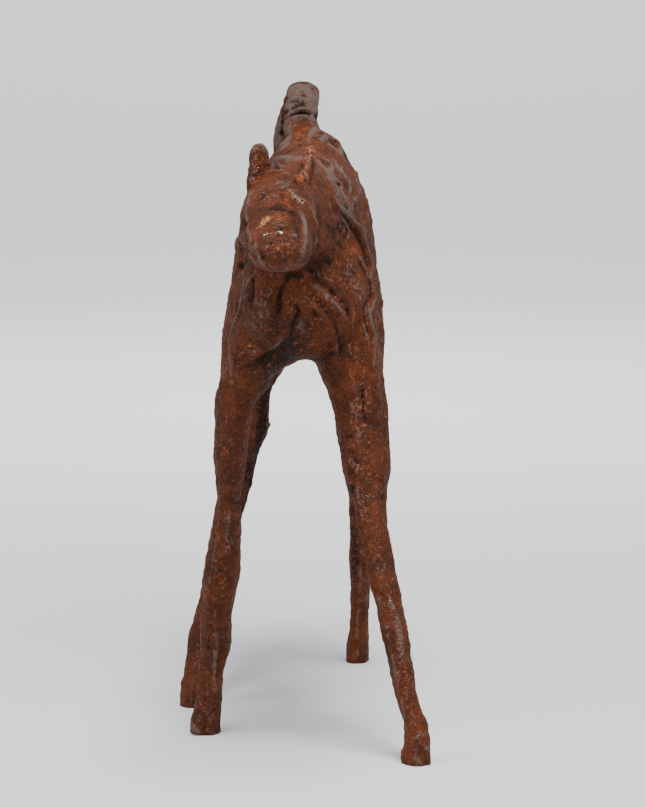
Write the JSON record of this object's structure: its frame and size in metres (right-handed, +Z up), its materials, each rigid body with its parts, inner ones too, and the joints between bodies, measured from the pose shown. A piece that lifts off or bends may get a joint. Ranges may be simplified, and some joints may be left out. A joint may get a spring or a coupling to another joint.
{
  "type": "cast iron horse sculpture",
  "caption": "Rust-brown cast iron figure of a walking horse with a narrow trunk, lowered head, raised tail and very long thin legs.",
  "frame": {"origin": "on the floor under the middle of the horse's bounding box", "axes": "+X to the horse's left, +Y towards its tail, +Z up; the horse faces -Y"},
  "size_m": [0.2598, 0.7464, 0.661],
  "materials": {
    "rusted_iron": "rusted and waxed, pitted, deep brown with orange patches",
    "plug_iron": "rusted, filed flush",
    "joint_steel": "turned or sawn, unpainted"
  },
  "bodies": {
    "root": {"head": "rusted_iron", "right_ear": "rusted_iron", "left_ear": "rusted_iron", "neck": "rusted_iron", "forequarters": "rusted_iron", "barrel": "rusted_iron", "hindquarters": "rusted_iron", "tail": "rusted_iron", "left_foreleg": "rusted_iron", "right_foreleg": "rusted_iron", "left_hind_leg": "rusted_iron", "right_hind_leg": "rusted_iron", "belly_plug": "plug_iron", "neck_ring": "joint_steel", "front_ring": "joint_steel", "rear_ring": "joint_steel", "head_dowel": "joint_steel", "tail_dowel": "joint_steel", "right_ear_pin": "joint_steel", "left_ear_pin": "joint_steel", "left_foreleg_dowel": "joint_steel", "right_foreleg_dowel": "joint_steel", "left_hind_leg_dowel": "joint_steel", "right_hind_leg_dowel": "joint_steel"}
  },
  "joints": []
}
